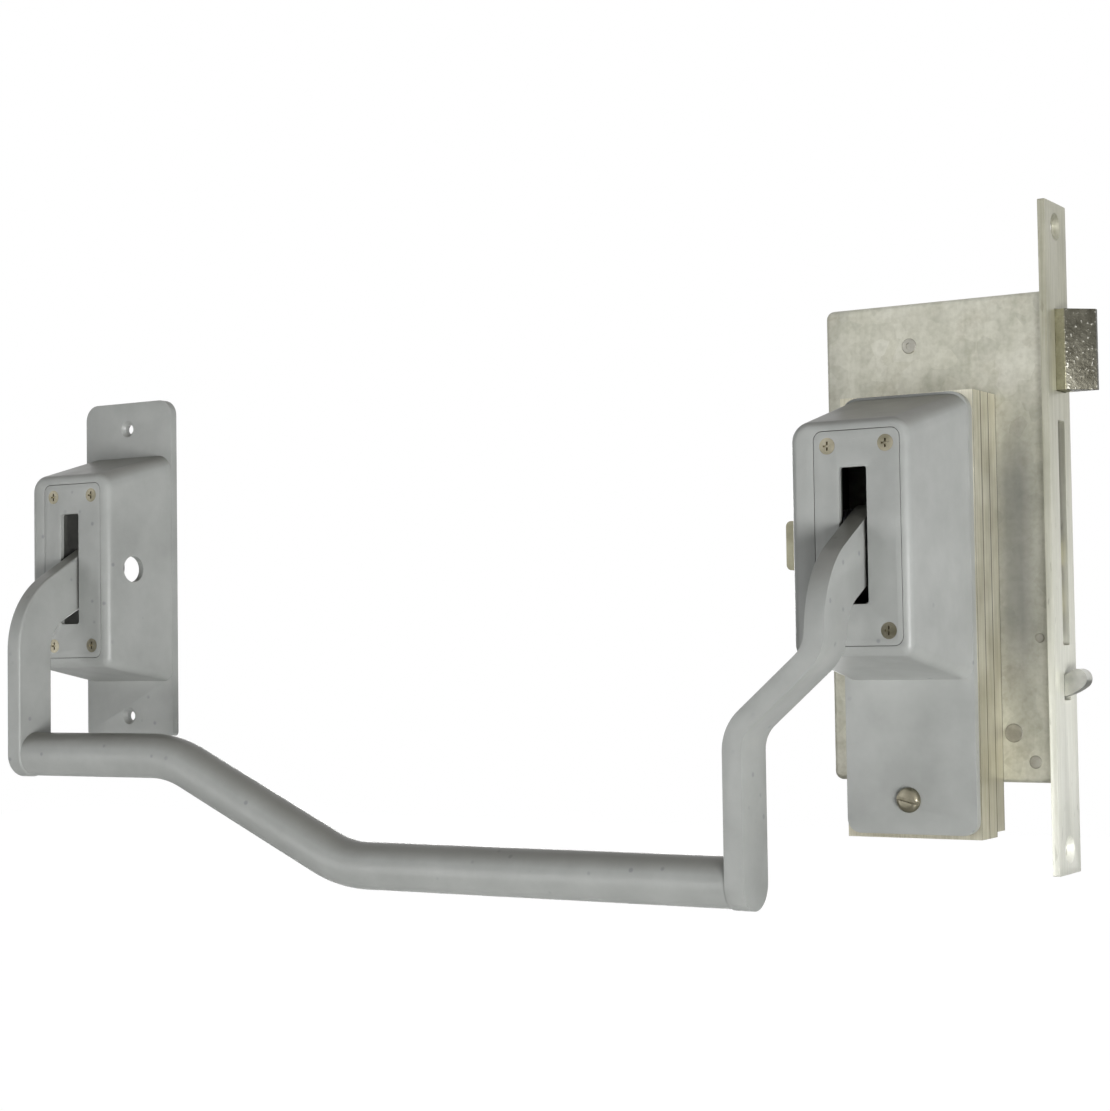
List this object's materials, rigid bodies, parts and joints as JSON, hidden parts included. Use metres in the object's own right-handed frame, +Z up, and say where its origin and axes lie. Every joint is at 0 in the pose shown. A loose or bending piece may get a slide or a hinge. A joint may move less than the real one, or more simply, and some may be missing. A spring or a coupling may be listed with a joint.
{
  "type": "panic exit lock",
  "caption": "Push-bar exit lock: mortise case with forend, bevelled latch and swing bolt, packing plates, and a cranked tube bar on two arms pivoting in surface housings",
  "frame": {"origin": "centre of the forend's outer face, midway between its two screw holes", "axes": "+X out of the door edge, +Y into the door away from the push bar, +Z up"},
  "size_m": [0.4298, 0.1227, 0.2405],
  "materials": {
    "zinc_strip": "zinc plated, satin",
    "galvanised_sheet": "galvanised sheet, worn",
    "post_steel": "turned and riveted",
    "latch_steel": "hardened steel, dark and greased",
    "sintered_steel": "sintered, dull",
    "bolt_steel": "stamped steel, satin",
    "spring_steel": "drawn wire",
    "packing_aluminium": "sawn flat bar, untreated",
    "lug_aluminium": "flat strip, untreated",
    "grey_paint": "light grey satin paint, small specks",
    "nickel_screw": "nickel plated",
    "zinc_screw": "zinc plated",
    "plain_steel": "plain steel",
    "pin_steel": "hardened, ground",
    "blued_steel": "blued",
    "bronze": "sintered bronze"
  },
  "bodies": {
    "lock_body": {"forend_plate": "zinc_strip", "lock_case": "galvanised_sheet", "case_cover": "galvanised_sheet", "case_posts": "post_steel", "swing_bolt_pin": "post_steel", "trigger_pin": "post_steel", "follower_spring_seat": "post_steel", "latch_spring": "spring_steel", "follower_spring": "spring_steel", "trigger_spring": "spring_steel", "return_spring": "spring_steel", "detent_leaf": "spring_steel", "packing_plate_front": "packing_aluminium", "packing_plate_middle": "packing_aluminium", "packing_plate_rear": "packing_aluminium", "side_lug": "lug_aluminium", "lock_side_housing": "grey_paint", "lock_side_cover": "grey_paint", "hinge_side_housing": "grey_paint", "hinge_side_cover": "grey_paint", "lock_side_cover_screws": "nickel_screw", "hinge_side_cover_screws": "nickel_screw", "flange_screw": "nickel_screw", "bearing_plate_screws": "zinc_screw", "housing_fixing_screws": "zinc_screw", "bearing_plate": "plain_steel", "lock_side_bushes": "bronze", "hinge_side_bushes": "bronze"},
    "handle": {"push_bar": "grey_paint", "lock_side_arm": "grey_paint", "hinge_side_arm": "grey_paint", "lock_side_axle": "pin_steel", "hinge_side_axle": "pin_steel", "lock_side_circlips": "blued_steel", "hinge_side_circlips": "blued_steel", "drive_fork": "plain_steel", "drive_pins": "pin_steel"},
    "spindle": {"spindle_crank": "plain_steel", "spindle": "plain_steel", "follower": "sintered_steel"},
    "latch": {"latch_bolt": "latch_steel"},
    "swing_bolt": {"swing_bolt": "bolt_steel"},
    "trigger": {"trigger": "bolt_steel"}
  },
  "joints": [
    {"name": "press", "type": "hinge", "parent": "lock_body", "child": "handle", "pos_m": [-0.044, -0.0654, 0], "axis": [1, 0, 0], "range_deg": [0, 7.5], "stiffness_Nm_per_rad": 3, "springref_deg": -20.05, "deforming": ["follower_spring", "latch_spring", "return_spring"]},
    {"name": "spindle_turn", "type": "hinge", "parent": "lock_body", "child": "spindle", "pos_m": [-0.044, 0, 0], "axis": [0, 1, 0], "range_deg": [-24, 0]},
    {"name": "latch_slide", "type": "slide", "parent": "lock_body", "child": "latch", "axis": [1, 0, 0], "range_m": [-0.01249, 0]},
    {"name": "swing_bolt_turn", "type": "hinge", "parent": "lock_body", "child": "swing_bolt", "pos_m": [-0.0145, 0.0015, -0.0225], "axis": [0, 1, 0], "range_deg": [0, 90]},
    {"name": "trigger_turn", "type": "hinge", "parent": "lock_body", "child": "trigger", "pos_m": [-0.006, 0.0015, -0.0354], "axis": [0, 1, 0], "range_deg": [0, 29], "stiffness_Nm_per_rad": 0.02, "springref_deg": -28.65, "deforming": ["trigger_spring"]}
  ],
  "couplings": [
    {"joint": "spindle_turn", "follows": "press", "ratio": -3.2},
    {"joint": "latch_slide", "follows": "press", "m_per_rad": -0.0953}
  ]
}
